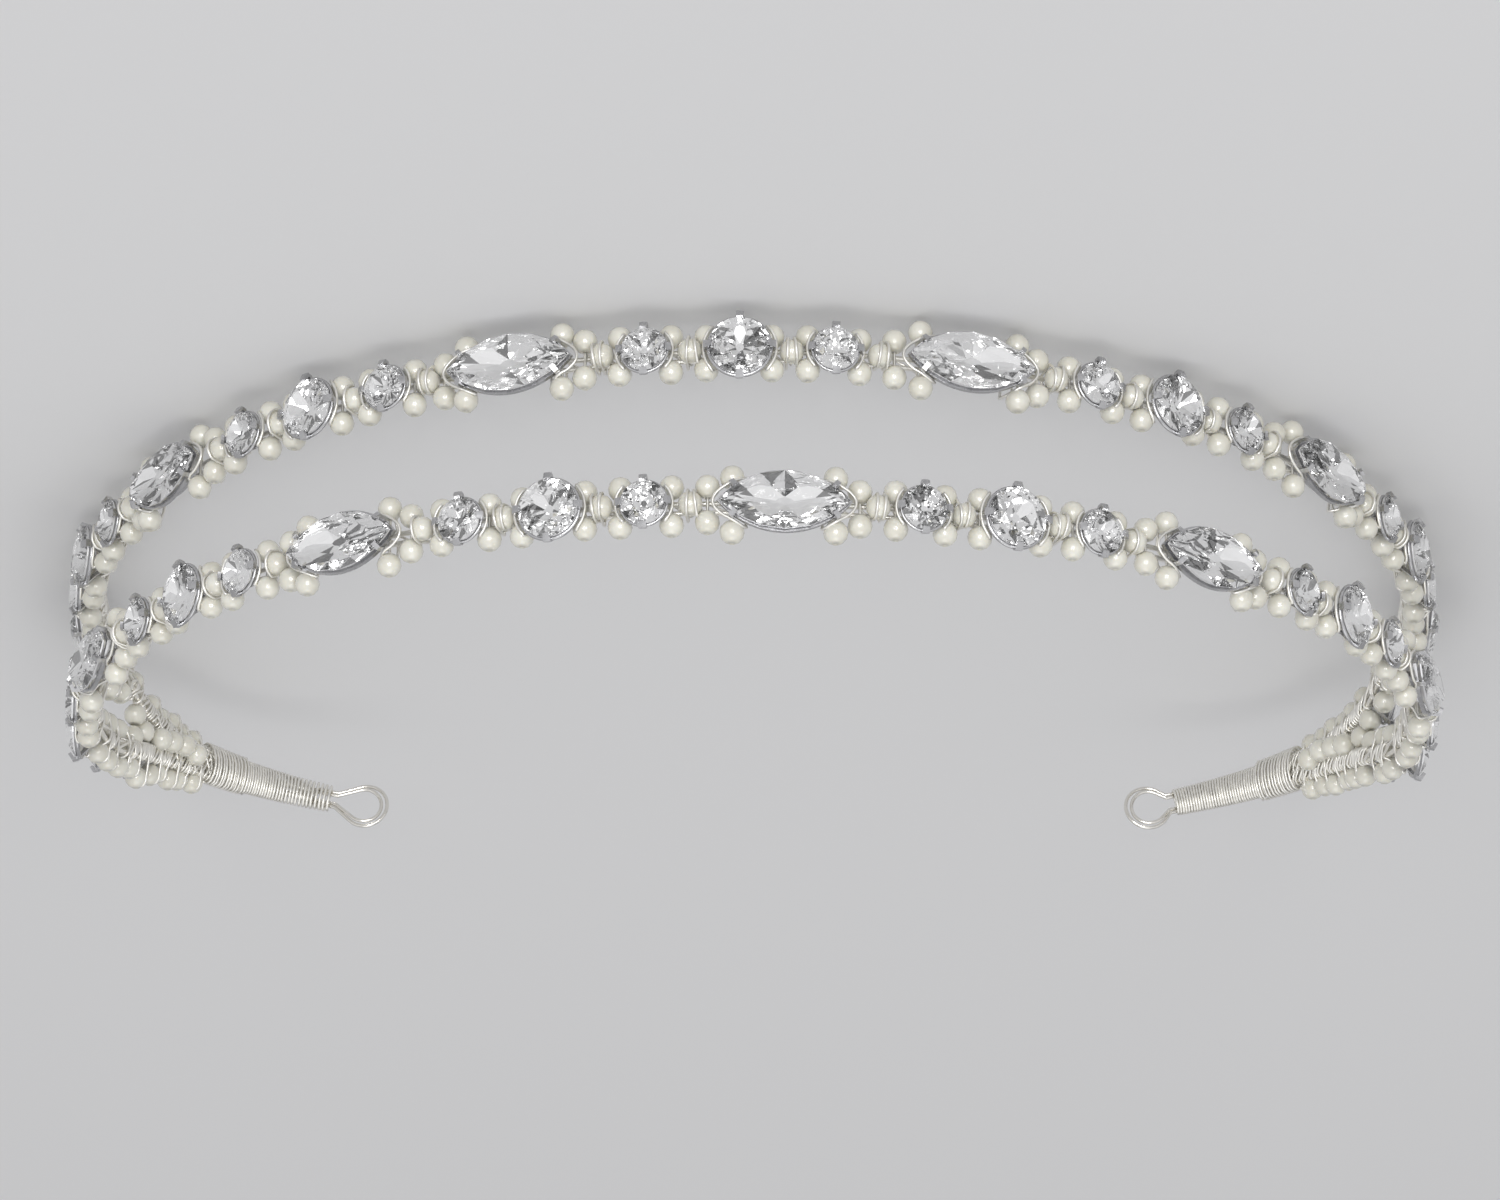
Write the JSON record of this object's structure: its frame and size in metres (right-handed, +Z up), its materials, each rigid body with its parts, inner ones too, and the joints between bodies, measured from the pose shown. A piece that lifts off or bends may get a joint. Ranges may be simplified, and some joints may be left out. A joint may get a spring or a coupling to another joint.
{
  "type": "bridal headband",
  "caption": "Bridal headband of wired ivory pearls with marquise and round crystals in open settings, its rows joined at each end by a wire wrap and a loop.",
  "frame": {"origin": "middle of the headband's footprint on the surface it lies on, on its side", "axes": "+X from the end on the picture's right to the end on the picture's left, +Y from the middle of the headband to its open ends, +Z up from the rear row to the front row, which is toward the wearer's face"},
  "size_m": [0.169, 0.1261, 0.0295],
  "materials": {
    "crystal": "polished clear crystal with foiled back",
    "setting": "polished silver plate",
    "pearl": "ivory pearl lustre",
    "wire": "silver-plated craft wire",
    "loop": "silver-plated craft wire"
  },
  "bodies": {
    "root": {"front_marquise_1": "crystal", "front_marquise_setting_1": "setting", "front_marquise_2": "crystal", "front_marquise_setting_2": "setting", "front_marquise_3": "crystal", "front_marquise_setting_3": "setting", "front_marquise_4": "crystal", "front_marquise_setting_4": "setting", "front_marquise_5": "crystal", "front_marquise_setting_5": "setting", "front_round_1": "crystal", "front_round_setting_1": "setting", "front_round_2": "crystal", "front_round_setting_2": "setting", "front_round_3": "crystal", "front_round_setting_3": "setting", "front_round_4": "crystal", "front_round_setting_4": "setting", "front_round_5": "crystal", "front_round_setting_5": "setting", "front_round_6": "crystal", "front_round_setting_6": "setting", "rear_marquise_1": "crystal", "rear_marquise_setting_1": "setting", "rear_marquise_2": "crystal", "rear_marquise_setting_2": "setting", "rear_marquise_3": "crystal", "rear_marquise_setting_3": "setting", "rear_marquise_4": "crystal", "rear_marquise_setting_4": "setting", "rear_marquise_5": "crystal", "rear_marquise_setting_5": "setting", "rear_marquise_6": "crystal", "rear_marquise_setting_6": "setting", "rear_round_1": "crystal", "rear_round_setting_1": "setting", "rear_round_2": "crystal", "rear_round_setting_2": "setting", "rear_round_3": "crystal", "rear_round_setting_3": "setting", "rear_round_4": "crystal", "rear_round_setting_4": "setting", "rear_round_5": "crystal", "rear_round_setting_5": "setting", "small_stones": "crystal", "small_settings": "setting", "front_pearls": "pearl", "front_pearl_rows": "pearl", "front_binding_wire": "wire", "front_upper_wire": "wire", "front_lower_wire": "wire", "rear_pearls": "pearl", "rear_pearl_rows": "pearl", "rear_binding_wire": "wire", "rear_upper_wire": "wire", "rear_lower_wire": "wire", "left_wrap": "wire", "left_end_loop": "loop", "right_wrap": "wire", "right_end_loop": "loop"}
  },
  "joints": []
}
